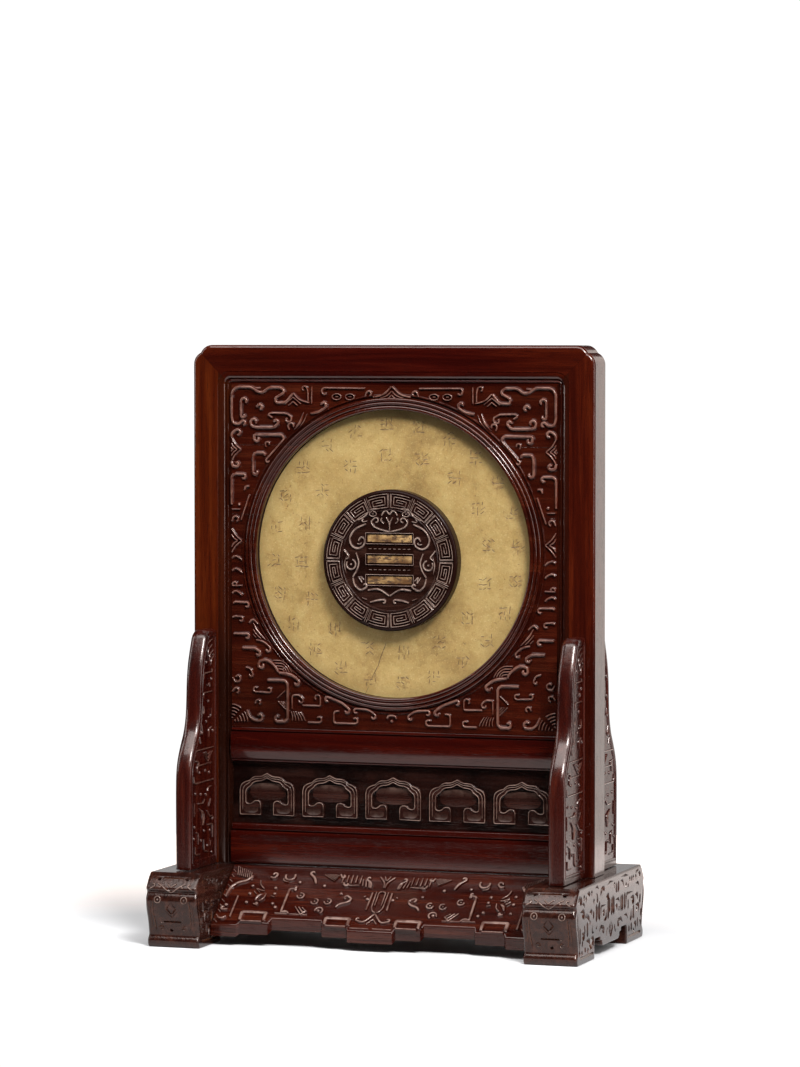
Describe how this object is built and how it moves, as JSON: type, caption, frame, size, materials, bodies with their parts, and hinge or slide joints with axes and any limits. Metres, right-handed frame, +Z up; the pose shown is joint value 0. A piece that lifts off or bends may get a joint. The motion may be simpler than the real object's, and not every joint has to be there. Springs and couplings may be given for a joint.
{
  "type": "jade disc table screen",
  "caption": "Upright table screen: a carved hardwood frame on two block feet holds a jade disc with a carved wooden boss at its centre.",
  "frame": {"origin": "on the ground under the middle of the screen", "axes": "+Z up, the carved front faces -Y, +X to the right as seen from the front"},
  "size_m": [0.254, 0.1414, 0.341],
  "materials": {
    "red_wood": "polished dark red-brown rosewood with fine straight grain",
    "dark_wood": "waxed, almost black-brown carved rosewood",
    "plain_wood": "plain board with a dull wax finish",
    "jade": "soft polish, mottled yellow-green, with shallow brown-filled strokes",
    "gilt": "worn gilding on wood, in the boss's sunk bars"
  },
  "bodies": {
    "root": {"foot_left": "dark_wood", "foot_right": "dark_wood", "stile_left": "red_wood", "stile_right": "red_wood", "top_rail": "red_wood", "middle_rail": "red_wood", "bottom_rail": "red_wood", "carved_panel": "red_wood", "jade_disc": "jade", "centre_boss": "dark_wood", "back_board": "plain_wood", "ruyi_panel": "dark_wood", "apron_front": "red_wood", "apron_back": "red_wood", "spandrel_front_left": "red_wood", "spandrel_front_right": "red_wood", "spandrel_back_left": "red_wood", "spandrel_back_right": "red_wood"}
  },
  "joints": []
}
